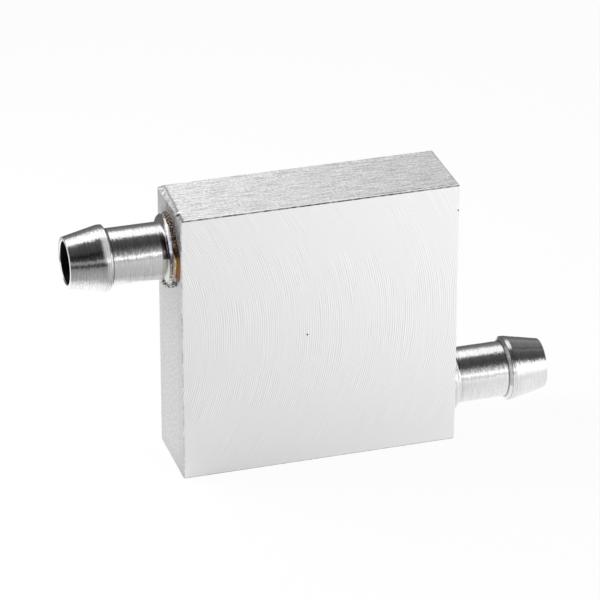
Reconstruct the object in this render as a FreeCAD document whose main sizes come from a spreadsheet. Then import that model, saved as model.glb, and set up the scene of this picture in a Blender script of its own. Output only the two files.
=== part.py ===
# Liquid cooling cold plate: a flat aluminium block that coolant runs through, seen standing on one
# of its narrow sides. The block is one extrusion with three finned lanes. A cap is let into each
# end and brazed round its edge, and a turned nozzle with a hose barb is brazed into each cap: the
# inlet high on the left end, the outlet low on the right end. The dividers between the lanes stop
# short at opposite ends, so coolant runs right, back left and right again.
#
# Frame: millimetres, +X to the outlet end, -Y the machined front face, +Z up. The origin is the
# middle of the block's bottom face. The two ends are the same parts, half a turn about Y apart.
import FreeCAD, Part
import Sketcher
import math
import os

SIZES = (
    # the block
    ("block_width", 40.0, "block from end to end"),
    ("block_height", 40.0, "block from bottom to top"),
    ("block_depth", 12.0, "block from front to back"),
    ("edge_break", 0.15, "chamfer on the block's outer edges"),
    ("file_back", 1.0, "width of the filed facet over the inlet, at the back"),
    ("file_front", 0.45, "width of the filed facet over the inlet, at the front"),
    ("file_back_drop", 0.25, "how far that facet falls to the end face, at the back"),
    ("file_front_drop", 0.2, "how far that facet falls to the end face, at the front"),
    # the coolant lanes
    ("face_wall", 2.4, "wall between a lane and the front or back face"),
    ("edge_wall", 2.0, "wall between the outer lanes and the top or bottom"),
    ("divider", 1.6, "wall between two lanes"),
    ("lane_corner", 0.5, "radius in a lane's corners"),
    ("turn_gap", 9.0, "opening past the cut-back end of a divider"),
    ("plenum", 5.0, "open space between a cap and the fins"),
    ("fin_height", 1.4, "fin from root to tip"),
    ("fin_root", 1.0, "fin thickness at its root"),
    ("fin_tip", 0.7, "fin thickness at its tip"),
    # the end caps
    ("cap_thickness", 3.0, "cap, and the recess it sits in"),
    ("cap_ledge", 0.4, "ledge that the cap rests on, all round"),
    ("cap_gap", 0.05, "gap round the cap for the braze to run into"),
    ("recess_corner", 1.5, "radius in the recess's corners"),
    ("seam", 0.4, "leg of the braze seam round the cap"),
    # the nozzles, measured along their axis from the end face
    ("port_inset", 6.9, "nozzle axis from the block's nearer narrow side"),
    ("bore", 6.0, "bore through the nozzle"),
    ("spigot", 7.0, "spigot that plugs into the cap, diameter"),
    ("spigot_gap", 0.05, "gap between the spigot and its hole"),
    ("flange", 10.0, "flange diameter"),
    ("flange_thickness", 1.1, "flange thickness"),
    ("flange_round", 0.45, "rounding of the flange's outer edge"),
    ("root_round", 0.5, "fillet between flange and shank"),
    ("shank", 8.0, "shank diameter"),
    ("barb", 9.25, "barb diameter"),
    ("barb_place", 9.25, "end face to the back edge of the barb's land"),
    ("barb_land", 0.6, "land behind the barb's cone"),
    ("barb_step", 0.4, "slope from the land down to the shank"),
    ("barb_round", 0.25, "rounding of the barb's edges"),
    ("reach", 14.8, "end face to the mouth"),
    ("mouth", 7.18, "nozzle diameter at the mouth"),
    ("mouth_break", 0.12, "chamfer inside the mouth"),
    # what the brazing left
    ("fillet_leg", 0.35, "leg of the braze fillet round a flange"),
    ("flux_rise", 0.75, "burnt flux up the inlet flange"),
    ("flux_spread", 0.8, "burnt flux out from the inlet flange"),
    ("flux_above", 104.0, "degrees of burnt flux above the front"),
    ("flux_below", 36.0, "degrees of burnt flux below the front"),
    ("bead", 0.5, "radius of the braze beads under the inlet flange"),
)
LANES = 3
FINS = 3  # on each wall of a lane
# Beads of braze under the inlet flange: degrees from the front, how far out from the end face as a
# share of the flange's thickness, and how far outside the flange's edge as a share of the bead.
BEADS = (
    (-46, 0.18, 0.0),
    (-55, 0.36, -0.15),
    (-62, 0.62, -0.3),
    (-69, 0.8, -0.5),
    (-78, 0.9, -0.75),
)
HOLLOW = 0.3  # how far the middle of the braze fillet is drawn in, as a share of its leg
SLUMP = 0.4  # where the flux bends on its way down, as a share of its rise and of its spread
EXACT = 1e-4  # edges are told apart by their place to this, in millimetres


class Size:
    """A length, held as its number and as the expression that ties it to the sheet."""

    def __init__(self, number, text):
        self.number = number
        self.text = text

    def __add__(self, other):
        other = size_of(other)
        return Size(self.number + other.number, f"({self.text} + {other.text})")

    def __sub__(self, other):
        other = size_of(other)
        return Size(self.number - other.number, f"({self.text} - {other.text})")

    def __mul__(self, factor):
        return Size(self.number * factor, f"({self.text} * {factor})")

    def __truediv__(self, factor):
        return Size(self.number / factor, f"({self.text} / {factor})")

    def __neg__(self):
        return Size(-self.number, f"(-{self.text})")


def size_of(value):
    if isinstance(value, Size):
        return value
    return Size(float(value), str(float(value)))


ZERO = size_of(0)


def make_sheet(doc):
    """The driving dimensions: what each one is, and its value under its own name."""
    sheet = doc.addObject("Spreadsheet::Sheet", "sizes")
    for row, (alias, value, meaning) in enumerate(SIZES, start=1):
        sheet.set(f"A{row}", meaning)
        sheet.set(f"B{row}", str(value))
        sheet.setAlias(f"B{row}", alias)
    doc.recompute()
    return sheet


class Sheet:
    """Each name of the sheet as a Size."""

    def __init__(self, sheet):
        for alias, _value, _meaning in SIZES:
            setattr(self, alias, Size(float(sheet.get(alias)), f"sizes.{alias}"))


def bind(obj, name, size):
    obj.setExpression(name, size_of(size).text)


def new_body(doc, name, size, turned=False):
    """A body whose own origin is the middle of the block, half a turn about Y where it is turned."""
    body = doc.addObject("PartDesign::Body", name)
    body.Label = name
    angle = 180 if turned else 0
    body.Placement.Rotation = FreeCAD.Rotation(FreeCAD.Vector(0, 1, 0), angle)
    bind(body, "Placement.Base.z", size.block_height / 2)
    return body


def plane(body, role):
    return next(item for item in body.Origin.OriginFeatures if item.Role == role)


def new_sketch(body, name, role, offset=ZERO):
    """A sketch on one of the body's own planes, moved along that plane's normal."""
    sketch = body.newObject("Sketcher::SketchObject", name)
    sketch.AttachmentSupport = (plane(body, role), [""])
    sketch.MapMode = "FlatFace"
    bind(sketch, "AttachmentOffset.Base.z", offset)
    return sketch


def pin_across(sketch, line, end, x):
    index = sketch.addConstraint(Sketcher.Constraint("DistanceX", -1, 1, line, end, x.number))
    bind(sketch, f"Constraints[{index}]", x)


def pin_up(sketch, line, end, y):
    index = sketch.addConstraint(Sketcher.Constraint("DistanceY", -1, 1, line, end, y.number))
    bind(sketch, f"Constraints[{index}]", y)


def pin(sketch, line, end, x, y):
    pin_across(sketch, line, end, x)
    pin_up(sketch, line, end, y)


def polygon(sketch, points):
    """Straight lines through the points, closed, with every corner tied to its own sizes."""
    corners = [FreeCAD.Vector(x.number, y.number, 0) for x, y in points]
    count = len(points)
    for start in range(count):
        sketch.addGeometry(Part.LineSegment(corners[start], corners[(start + 1) % count]))
    for line in range(count):
        sketch.addConstraint(Sketcher.Constraint("Coincident", line, 2, (line + 1) % count, 1))
    for line, (x, y) in enumerate(points):
        pin(sketch, line, 1, x, y)


def rectangle(sketch, half_x, low_y, high_y):
    """A rectangle about the sketch's upright axis."""
    polygon(sketch, ((-half_x, low_y), (half_x, low_y), (half_x, high_y), (-half_x, high_y)))


def rounded_rectangle(sketch, half_x, low_y, high_y, corner):
    """A rectangle about the sketch's upright axis, with four equal round corners."""
    x, low, high, r = half_x.number, low_y.number, high_y.number, corner.number
    up = FreeCAD.Vector(0, 0, 1)
    sides = (
        ((-x + r, low), (x - r, low)),
        ((x, low + r), (x, high - r)),
        ((x - r, high), (-x + r, high)),
        ((-x, high - r), (-x, low + r)),
    )
    centres = ((x - r, low + r), (x - r, high - r), (-x + r, high - r), (-x + r, low + r))
    for start, end in sides:
        sketch.addGeometry(Part.LineSegment(FreeCAD.Vector(*start, 0), FreeCAD.Vector(*end, 0)))
    for number, centre in enumerate(centres):
        circle = Part.Circle(FreeCAD.Vector(*centre, 0), up, r)
        first = (number - 1) * math.pi / 2
        sketch.addGeometry(Part.ArcOfCircle(circle, first, first + math.pi / 2))
    for side in range(4):
        arc = 4 + side
        following = (side + 1) % 4
        sketch.addConstraint(Sketcher.Constraint("Tangent", side, 2, arc, 1))
        sketch.addConstraint(Sketcher.Constraint("Tangent", arc, 2, following, 1))
        level = "Horizontal" if side % 2 == 0 else "Vertical"
        sketch.addConstraint(Sketcher.Constraint(level, side))
    for arc in (5, 6, 7):
        sketch.addConstraint(Sketcher.Constraint("Equal", 4, arc))
    index = sketch.addConstraint(Sketcher.Constraint("Radius", 4, r))
    bind(sketch, f"Constraints[{index}]", corner)
    pin_up(sketch, 0, 1, low_y)
    pin_across(sketch, 1, 1, half_x)
    pin_up(sketch, 2, 1, high_y)
    pin_across(sketch, 3, 1, -half_x)


def pad(body, name, sketch, length, both_ways=False, into_body=False):
    """Material from the sketch: both ways from it, or to one side."""
    feature = body.newObject("PartDesign::Pad", name)
    feature.Profile = sketch
    feature.SideType = "Symmetric" if both_ways else "One side"
    feature.Reversed = into_body
    bind(feature, "Length", length)
    body.Document.recompute()
    return feature


def pocket(body, name, sketch, depth, both_ways=False, outward=False, taper=0):
    """A cut from the sketch, which must take something away."""
    before = body.Shape.Volume
    feature = body.newObject("PartDesign::Pocket", name)
    feature.Profile = sketch
    feature.SideType = "Symmetric" if both_ways else "One side"
    feature.Reversed = outward
    feature.TaperAngle = taper
    bind(feature, "Length", depth)
    body.Document.recompute()
    if feature.Shape.Volume >= before:
        raise ValueError(f"{name} cuts nothing")
    return feature


def edges_where(feature, wanted):
    """The names of the feature's edges that pass the test."""
    return [f"Edge{number}" for number, edge in enumerate(feature.Shape.Edges, 1) if wanted(edge)]


def dress(body, kind, name, base, edges, property_name, size):
    """A fillet or a chamfer on the named edges."""
    feature = body.newObject(f"PartDesign::{kind}", name)
    feature.Base = (base, edges)
    bind(feature, property_name, size)
    body.Document.recompute()
    return feature


def near(value, size):
    return abs(value - size.number) < EXACT


def lane_height(size):
    room = size.block_height - size.edge_wall * 2 - size.divider * (LANES - 1)
    return room / LANES


def channel_body(doc, size):
    """The extruded block: lanes, fins, cap recesses, cut-back dividers and the filed facet."""
    body = new_body(doc, "channel_body", size)
    half_width = size.block_width / 2
    half_height = size.block_height / 2
    half_cavity = size.block_depth / 2 - size.face_wall
    height = lane_height(size)
    lane_pitch = height + size.divider
    lowest = -half_height + size.edge_wall

    outline = new_sketch(body, "block_outline", "YZ_Plane")
    rectangle(outline, size.block_depth / 2, -half_height, half_height)
    block = pad(body, "block", outline, size.block_width, both_ways=True)
    every_edge = edges_where(block, lambda edge: True)
    dress(body, "Chamfer", "edge_breaks", block, every_edge, "Size", size.edge_break)

    lane_outline = new_sketch(body, "lane_outline", "YZ_Plane")
    rounded_rectangle(lane_outline, half_cavity, lowest, lowest + height, size.lane_corner)
    lane = pocket(body, "lane", lane_outline, size.block_width, both_ways=True)
    lanes = body.newObject("PartDesign::LinearPattern", "lanes")
    lanes.Originals = [lane]
    lanes.Direction = (plane(body, "Z_Axis"), [""])
    lanes.Occurrences = LANES
    bind(lanes, "Length", lane_pitch * (LANES - 1))
    body.Tip = lanes
    doc.recompute()

    fins(body, size, half_cavity, lowest, height, lane_pitch)
    for end, sign in (("right", 1), ("left", -1)):
        recess_outline = new_sketch(body, f"{end}_recess_outline", "YZ_Plane", half_width * sign)
        recess_shape(recess_outline, size)
        pocket(body, f"{end}_recess", recess_outline, size.cap_thickness, outward=sign < 0)

    # The cut reaches into the lanes as far as their round corners, so it leaves no rib on the wall.
    for end, sign, below in (("left", -1, 1), ("right", 1, LANES - 1)):
        turn_outline = new_sketch(body, f"{end}_turn_outline", "YZ_Plane", half_width * sign)
        foot = lowest + lane_pitch * below - size.divider - size.lane_corner
        crown = lowest + lane_pitch * below + size.lane_corner
        rectangle(turn_outline, half_cavity, foot, crown)
        depth = size.cap_thickness + size.turn_gap
        pocket(body, f"{end}_turn", turn_outline, depth, outward=sign < 0)

    # The sketch plane's normal is -Y, so the front triangle stands half the depth along it. Each
    # triangle runs on past the block's corner by as much again as its facet.
    triangles = []
    for end, sign, wide, drop in (
        ("front", 1, size.file_front, size.file_front_drop),
        ("back", -1, size.file_back, size.file_back_drop),
    ):
        triangle = new_sketch(body, f"{end}_facet", "XZ_Plane", size.block_depth / 2 * sign)
        left = -half_width - wide
        top = half_height + drop
        polygon(triangle, ((left, half_height - drop * 2), (-half_width + wide * 2, top), (left, top)))
        triangles.append(triangle)
    before = body.Shape.Volume
    facet = body.newObject("PartDesign::SubtractiveLoft", "filed_facet")
    facet.Profile = triangles[0]
    facet.Sections = triangles[1:]
    facet.Ruled = True
    doc.recompute()
    if facet.Shape.Volume >= before:
        raise ValueError("filed_facet cuts nothing")
    return body


def fins(body, size, half_cavity, lowest, height, lane_pitch):
    """One fin on the front wall of the lowest lane, repeated up the lane, lane by lane, and behind."""
    fin_pitch = height / (FINS + 1)
    middle = lowest + fin_pitch
    root = size.fin_root / 2
    tip = size.fin_tip / 2
    wall = -half_cavity
    inside_wall = wall - size.face_wall / 2
    crest = wall + size.fin_height
    fin_outline = new_sketch(body, "fin_outline", "YZ_Plane")
    polygon(
        fin_outline,
        (
            (inside_wall, middle - root),
            (wall, middle - root),
            (crest, middle - tip),
            (crest, middle + tip),
            (wall, middle + root),
            (inside_wall, middle + root),
        ),
    )
    run = size.block_width - (size.cap_thickness + size.plenum) * 2
    fin = pad(body, "fin", fin_outline, run, both_ways=True)
    every_fin = body.newObject("PartDesign::MultiTransform", "every_fin")
    every_fin.Originals = [fin]
    up_the_lane = body.newObject("PartDesign::LinearPattern", "up_the_lane")
    up_the_lane.Direction = (plane(body, "Z_Axis"), [""])
    up_the_lane.Occurrences = FINS
    bind(up_the_lane, "Length", fin_pitch * (FINS - 1))
    lane_by_lane = body.newObject("PartDesign::LinearPattern", "lane_by_lane")
    lane_by_lane.Direction = (plane(body, "Z_Axis"), [""])
    lane_by_lane.Occurrences = LANES
    bind(lane_by_lane, "Length", lane_pitch * (LANES - 1))
    behind = body.newObject("PartDesign::Mirrored", "behind")
    behind.MirrorPlane = (plane(body, "XZ_Plane"), [""])
    every_fin.Transformations = [up_the_lane, lane_by_lane, behind]
    body.Tip = every_fin
    body.Document.recompute()


def recess_shape(sketch, size, inset=ZERO):
    """The outline of the cap's recess, drawn in by an inset all round."""
    across = size.block_depth / 2 - size.face_wall + size.cap_ledge - inset
    up = size.block_height / 2 - size.edge_wall + size.cap_ledge - inset
    rounded_rectangle(sketch, across, -up, up, size.recess_corner - inset)


def port_height(size):
    """The outlet's axis, from the middle of the block."""
    return size.port_inset - size.block_height / 2


def end_cap(doc, name, size, turned):
    """The inset cap, chamfered for its braze seam and bored for the nozzle's spigot."""
    body = new_body(doc, name, size, turned)
    outline = new_sketch(body, f"{name}_outline", "YZ_Plane", size.block_width / 2)
    recess_shape(outline, size, size.cap_gap)
    cap = pad(body, f"{name}_plate", outline, size.cap_thickness, into_body=True)
    rim = edges_where(cap, lambda edge: near(edge.BoundBox.XMin, size.block_width / 2))
    dress(body, "Chamfer", f"{name}_chamfer", cap, rim, "Size", size.seam)
    hole_outline = new_sketch(body, f"{name}_hole_outline", "YZ_Plane", size.block_width / 2)
    centre = FreeCAD.Vector(0, port_height(size).number, 0)
    radius = size.spigot / 2 + size.spigot_gap
    circle = Part.Circle(centre, FreeCAD.Vector(0, 0, 1), radius.number)
    hole_outline.addGeometry(circle)
    pin(hole_outline, 0, 3, ZERO, port_height(size))
    index = hole_outline.addConstraint(Sketcher.Constraint("Radius", 0, radius.number))
    bind(hole_outline, f"Constraints[{index}]", radius)
    pocket(body, f"{name}_hole", hole_outline, size.cap_thickness)
    return body


def cap_seam(doc, name, size, turned):
    """The braze in the groove between cap and block: outer wall upright, inner wall sloping."""
    body = new_body(doc, name, size, turned)
    outer = new_sketch(body, f"{name}_outer", "YZ_Plane", size.block_width / 2)
    recess_shape(outer, size)
    pad(body, f"{name}_band", outer, size.seam, into_body=True)
    inner = new_sketch(body, f"{name}_inner", "YZ_Plane", size.block_width / 2)
    recess_shape(inner, size, size.cap_gap + size.seam)
    pocket(body, f"{name}_slope", inner, size.seam, taper=45)
    return body


def turned_section(body, name, size, points):
    """A section above the nozzle's axis: each point is out from the end face, and from the axis."""
    sketch = new_sketch(body, name, "XY_Plane", port_height(size))
    face = size.block_width / 2
    polygon(sketch, [(face + out, radius) for out, radius in points])
    return sketch


def revolve(body, name, sketch, above=None, below=None):
    """The section turned right round the nozzle's axis, or from one angle to another."""
    feature = body.newObject("PartDesign::Revolution", name)
    feature.Profile = sketch
    feature.ReferenceAxis = (sketch, ["H_Axis"])
    if above is None:
        feature.Angle = 360
    else:
        feature.Type = "TwoAngles"
        bind(feature, "Angle", above)
        bind(feature, "Angle2", below)
    body.Document.recompute()
    return feature


def nozzle(doc, name, size, turned):
    """The turned nozzle: spigot, flange, shank, hose barb with its land and cone, and the bore."""
    body = new_body(doc, name, size, turned)
    bore = size.bore / 2
    spigot = size.spigot / 2
    flange = size.flange / 2
    shank = size.shank / 2
    barb = size.barb / 2
    depth = -size.cap_thickness
    section = turned_section(
        body,
        f"{name}_section",
        size,
        (
            (depth, bore),
            (depth, spigot),
            (ZERO, spigot),
            (ZERO, flange),
            (size.flange_thickness, flange),
            (size.flange_thickness, shank),
            (size.barb_place - size.barb_step, shank),
            (size.barb_place, barb),
            (size.barb_place + size.barb_land, barb),
            (size.reach, size.mouth / 2),
            (size.reach, bore + size.mouth_break),
            (size.reach - size.mouth_break, bore),
        ),
    )
    turning = revolve(body, f"{name}_turning", section)

    def ring(out, radius):
        place = size.block_width / 2 + out

        def wanted(edge):
            curve = edge.Curve
            if not isinstance(curve, Part.Circle) or not near(curve.Center.x, place):
                return False
            return near(curve.Radius, radius) and near(curve.Center.z, port_height(size))

        return wanted

    base = turning
    for label, place, radius, rounding in (
        ("flange_edge", size.flange_thickness, flange, size.flange_round),
        ("flange_root", size.flange_thickness, shank, size.root_round),
        ("barb_back", size.barb_place, barb, size.barb_round),
        ("barb_front", size.barb_place + size.barb_land, barb, size.barb_round),
    ):
        edges = edges_where(base, ring(place, radius))
        base = dress(body, "Fillet", f"{name}_{label}", base, edges, "Radius", rounding)
    return body


def hollow_face(size):
    """The middle of the braze fillet: out from the end face, and beyond the flange's edge."""
    return size.fillet_leg * HOLLOW


def braze_fillet(doc, name, size, turned, beads=()):
    """The braze drawn up round a flange, with beads of surplus braze where it ran."""
    body = new_body(doc, name, size, turned)
    leg = size.fillet_leg
    flange = size.flange / 2
    hollow = hollow_face(size)
    section = turned_section(
        body,
        f"{name}_section",
        size,
        ((ZERO, flange), (leg, flange), (hollow, flange + hollow), (ZERO, flange + leg)),
    )
    revolve(body, f"{name}_ring", section)
    for number, (angle, out, away) in enumerate(beads, 1):
        bead = body.newObject("PartDesign::AdditiveSphere", f"{name}_bead_{number}")
        across = -math.cos(math.radians(angle))
        up = math.sin(math.radians(angle)) * (-1 if turned else 1)
        reach = flange + size.bead * away
        bind(bead, "Radius", size.bead)
        bind(bead, "Placement.Base.x", size.block_width / 2 + size.flange_thickness * out)
        bind(bead, "Placement.Base.y", reach * across)
        bind(bead, "Placement.Base.z", port_height(size) + reach * up)
        doc.recompute()
    if beads:
        nozzle_and_block_room(body, f"{name}_room", size)
    return body


def nozzle_and_block_room(body, name, size):
    """Cuts away what would lie inside the end face, the flange, its root fillet or the shank."""
    flange = size.flange / 2
    shank = size.shank / 2
    thickness = size.flange_thickness
    section = turned_section(
        body,
        f"{name}_section",
        size,
        (
            (-size.cap_thickness, ZERO),
            (-size.cap_thickness, size.flange),
            (ZERO, size.flange),
            (ZERO, flange),
            (thickness, flange),
            (thickness, shank + size.root_round),
            (thickness + size.root_round, shank),
            (size.reach, shank),
            (size.reach, ZERO),
        ),
    )
    before = body.Shape.Volume
    room = body.newObject("PartDesign::Groove", name)
    room.Profile = section
    room.ReferenceAxis = (section, ["H_Axis"])
    room.Angle = 360
    body.Document.recompute()
    if room.Shape.Volume >= before:
        raise ValueError(f"{name} cuts nothing")


def flux_residue(doc, name, size, turned):
    """Burnt flux lying over the braze fillet, round the front and over the top of the flange."""
    body = new_body(doc, name, size, turned)
    leg = size.fillet_leg
    flange = size.flange / 2
    hollow = hollow_face(size)
    section = turned_section(
        body,
        f"{name}_section",
        size,
        (
            (ZERO, -(flange + leg)),
            (hollow, -(flange + hollow)),
            (leg, -flange),
            (size.flux_rise, -flange),
            (size.flux_rise * SLUMP, -(flange + size.flux_spread * SLUMP)),
            (ZERO, -(flange + size.flux_spread)),
        ),
    )
    revolve(body, f"{name}_deposit", section, size.flux_above, size.flux_below)
    return body


def check(doc, bodies):
    """Nothing failed, and every sub-part is one valid solid."""
    for item in doc.Objects:
        bad = [state for state in item.State if state in ("Invalid", "Error")]
        if bad:
            raise RuntimeError(f"{item.Name} is {bad}: {item.getStatusString()}")
    for body in bodies:
        shape = body.Shape
        if shape.isNull() or not shape.isValid() or len(shape.Solids) != 1:
            raise RuntimeError(f"{body.Label} is not one valid solid")


def main():
    doc = FreeCAD.newDocument("cold_plate")
    size = Sheet(make_sheet(doc))
    bodies = [channel_body(doc, size)]
    for end, turned in (("inlet", True), ("outlet", False)):
        bodies.append(end_cap(doc, f"{end}_end_cap", size, turned))
        bodies.append(cap_seam(doc, f"{end}_cap_seam", size, turned))
        bodies.append(nozzle(doc, f"{end}_nozzle", size, turned))
        bodies.append(braze_fillet(doc, f"{end}_braze_fillet", size, turned, BEADS if turned else ()))
    bodies.append(flux_residue(doc, "inlet_flux_residue", size, True))
    doc.recompute()
    check(doc, bodies)
    os.makedirs("parts", exist_ok=True)
    for body in bodies:
        body.Shape.exportStep(f"parts/{body.Label}.step")
        box = body.Shape.optimalBoundingBox(False)
        print(
            f"{body.Label}: {body.Shape.Volume:.2f} mm3,"
            f" x {box.XMin:.2f} to {box.XMax:.2f},"
            f" y {box.YMin:.2f} to {box.YMax:.2f},"
            f" z {box.ZMin:.2f} to {box.ZMax:.2f}"
        )


main()
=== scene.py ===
# %% [markdown]
# # A liquid cooling cold plate
#
# The solid model already fixes every size of this part: an aluminium block that coolant runs
# through, a cap let into each end, and a turned hose nozzle brazed into each cap. What it lacks is
# what the workshop left on the metal: the arcs of the fly cutter, the grain of the extrusion, the
# fine rings of the lathe, and burnt flux round one flange. This lesson adds those, and lights the
# part as a product on white paper.

# %% Load the solid model
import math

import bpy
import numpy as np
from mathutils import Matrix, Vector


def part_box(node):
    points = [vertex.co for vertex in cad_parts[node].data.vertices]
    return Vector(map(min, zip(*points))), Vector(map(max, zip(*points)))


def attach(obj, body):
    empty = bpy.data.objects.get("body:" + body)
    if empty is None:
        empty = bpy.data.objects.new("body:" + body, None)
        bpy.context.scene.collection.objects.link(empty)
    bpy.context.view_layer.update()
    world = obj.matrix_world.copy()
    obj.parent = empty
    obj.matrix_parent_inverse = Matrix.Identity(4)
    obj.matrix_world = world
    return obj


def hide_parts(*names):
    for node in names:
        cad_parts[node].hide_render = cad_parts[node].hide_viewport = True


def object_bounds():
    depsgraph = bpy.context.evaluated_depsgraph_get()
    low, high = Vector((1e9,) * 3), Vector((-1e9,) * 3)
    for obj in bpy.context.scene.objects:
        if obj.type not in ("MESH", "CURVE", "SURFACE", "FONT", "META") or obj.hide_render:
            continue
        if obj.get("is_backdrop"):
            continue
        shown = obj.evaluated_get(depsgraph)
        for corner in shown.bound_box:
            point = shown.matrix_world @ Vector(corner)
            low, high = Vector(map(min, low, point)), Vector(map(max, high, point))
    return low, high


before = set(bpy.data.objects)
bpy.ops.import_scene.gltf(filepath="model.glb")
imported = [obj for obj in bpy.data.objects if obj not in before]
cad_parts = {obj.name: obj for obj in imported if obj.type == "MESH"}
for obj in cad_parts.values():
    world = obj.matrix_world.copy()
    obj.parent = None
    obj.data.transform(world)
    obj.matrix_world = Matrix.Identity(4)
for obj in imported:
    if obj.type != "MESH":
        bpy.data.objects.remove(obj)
cad_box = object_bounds()

# %% [markdown]
# ## Sizes to work from
#
# Blender counts in metres and this part is the size of a matchbox, so lengths are written in
# millimetres and turned to metres once, where a mesh is made. The places of things come from the
# boxes of the solid model's nodes. Only what a box can't tell, such as the shank's thickness
# between flange and barb, is written down in this lesson.

MM = 0.001
_block_low, block_high = (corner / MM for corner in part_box("channel_body"))
HALF_WIDTH, HALF_DEPTH, HEIGHT = block_high.x, block_high.y, block_high.z
print(f"block {2 * HALF_WIDTH:.1f} x {2 * HALF_DEPTH:.1f} x {HEIGHT:.1f} mm")

# %% Measure the nozzles
outlet_low, outlet_high = (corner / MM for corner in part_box("outlet_nozzle"))
inlet_low, inlet_high = (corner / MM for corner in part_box("inlet_nozzle"))
REACH = outlet_high.x - HALF_WIDTH
PLUG = HALF_WIDTH - outlet_low.x
FLANGE = outlet_high.y
OUTLET_AXIS = (outlet_low.z + outlet_high.z) / 2
INLET_AXIS = (inlet_low.z + inlet_high.z) / 2
print(f"nozzles reach {REACH:.2f} mm, flange radius {FLANGE:.2f} mm")
print(f"axes {INLET_AXIS:.1f} and {OUTLET_AXIS:.1f} mm up")

# %% [markdown]
# ## Surfaces from numbers
#
# A lathe part or a bead of braze is a surface: a function of two parameters. So the lesson keeps
# one helper that takes a whole grid of points and turns it into a mesh. The grid may join up with
# itself in either direction, as a ring does. Each quad is four numbers that say which points it
# joins, and numpy works them all out at once.


# %% Quads between the points of a grid
def grid_quads(rows, columns, closed_round, closed_across):
    """Each quad joins a point, the next one down its column, that one's neighbour, and its own
    neighbour. Where the grid is closed, the last row or column joins up with the first."""
    row = np.arange(rows if closed_round else rows - 1)[:, None]
    column = np.arange(columns if closed_across else columns - 1)[None, :]
    next_row, next_column = (row + 1) % rows, (column + 1) % columns
    corners = (
        row * columns + column,
        next_row * columns + column,
        next_row * columns + next_column,
        row * columns + next_column,
    )
    return np.stack(corners, axis=-1).reshape(-1, 4)


print("a closed ring of 8 by 4 points has", len(grid_quads(8, 4, True, True)), "quads")

# %% [markdown]
# Faces have to point outwards. That is measured by the volume they enclose, which comes out
# negative for a surface that is inside out. Each mesh is also unrolled: its UV map says how far
# round and how far across the grid a point lies, so that a colour can run along a bead.


# %% The volume inside, and the unrolled map
def enclosed_volume(points, quads):
    """A sixth of the sum of each triangle's corner product, a . (b x c)."""
    a, b, c, d = (points[quads[:, corner]] for corner in range(4))
    return np.sum(a * np.cross(b, c) + a * np.cross(c, d)) / 6


def unroll(mesh, quads, rows, columns):
    """The share of the way round and across, from 0 to 1. A quad over the seam counts on past 1."""
    share_round = (quads // columns) / rows
    share_across = (quads % columns) / columns
    past_round = share_round.max(axis=1, keepdims=True) - share_round > 0.5
    past_across = share_across.max(axis=1, keepdims=True) - share_across > 0.5
    pairs = np.stack([share_round + past_round, share_across + past_across], axis=-1)
    unrolled = mesh.uv_layers.new(name="unrolled")
    unrolled.uv.foreach_set("vector", pairs.astype(np.float32).ravel())


# %% A mesh from a grid of points
def surface(name, grid, closed_round, closed_across):
    """The grid's points, in millimetres, joined by quads and turned the right way out."""
    rows, columns = grid.shape[:2]
    points = grid.reshape(-1, 3)
    quads = grid_quads(rows, columns, closed_round, closed_across)
    volume = enclosed_volume(points, quads)
    if volume < 0:
        quads = quads[:, ::-1]
    mesh = bpy.data.meshes.new(name)
    mesh.from_pydata(points * MM, [], quads.tolist())
    unroll(mesh, quads, rows, columns)
    mesh.shade_smooth()
    mesh.update()
    piece = bpy.data.objects.new(name, mesh)
    bpy.context.scene.collection.objects.link(piece)
    print(f"{name}: {len(quads)} faces round {abs(volume):.2f} mm3")
    return piece


# %% [markdown]
# ## The camera
#
# A long lens from well back keeps the block's edges almost parallel, as in a catalogue. The camera
# stands a little to the left of the machined face and looks down on it, so that the face, the
# narrow top and the inlet end all show. It is placed by where it aims, how far back it stands, and
# its angles.

# %% Place the camera
AIM = Vector((-0.86, 1.21, 21.77)) * MM
STAND_OFF = 530.55 * MM
TURNED = math.radians(-17.076)
RAISED = math.radians(27.225)
TILTED = math.radians(0.099)

lens = bpy.data.cameras.new("camera")
lens.lens = 227.1
lens.clip_start = 0.05
lens.clip_end = 20
camera = bpy.data.objects.new("camera", lens)
bpy.context.scene.collection.objects.link(camera)
pointing = (
    Matrix.Rotation(TURNED, 4, "Z")
    @ Matrix.Rotation(math.pi / 2 - RAISED, 4, "X")
    @ Matrix.Rotation(TILTED, 4, "Z")
)
backwards = Vector(
    (
        math.sin(TURNED) * math.cos(RAISED),
        -math.cos(TURNED) * math.cos(RAISED),
        math.sin(RAISED),
    )
)
camera.matrix_world = Matrix.Translation(AIM + backwards * STAND_OFF) @ pointing
bpy.context.scene.camera = camera
bpy.context.scene.view_settings.view_transform = "Standard"
print("camera at", [round(value, 4) for value in camera.matrix_world.translation])

# %% [markdown]
# ## A tent of light
#
# Bare metal shows its surroundings and little else, so its light is designed by what the metal
# should mirror. A studio puts such a part inside a tent: bright panels where the metal should
# shine, black card where it should be dark. Here the tent is half a tube whose axis runs along the
# nozzles. Grey cloth covers all of it. Over the cloth lie a narrow bright strip low in
# front, a wide panel overhead that fades out towards the right, and a panel that closes the right
# side low down. A black card darkens the left side low down, and a dark seam crosses the overhead
# panel on the right, where it shows as a thin line on the outlet's cone.

# %% The cloth and the panels
TENT_RADIUS = 600.0
TENT_HALF_LENGTH = 900.0
# degrees up from the front horizon, and the cloth's brightness there
CLOTH = (
    (0, 0.50),
    (26, 0.50),
    (38, 0.20),
    (50, 0.09),
    (62, 0.05),
    (86, 0.08),
    (95, 0.16),
    (150, 0.24),
    (160, 0.16),
    (180, 0.14),
)
# millimetres along the tube, and the brightness there
FRONT_STRIP = ((-60, 0.30), (70, 1.30))
OVERHEAD_PANEL = ((-100, 1.24), (140, 1.22), (215, 1.16), (330, 0.15))
SIDE_PANEL = 1.25
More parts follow.
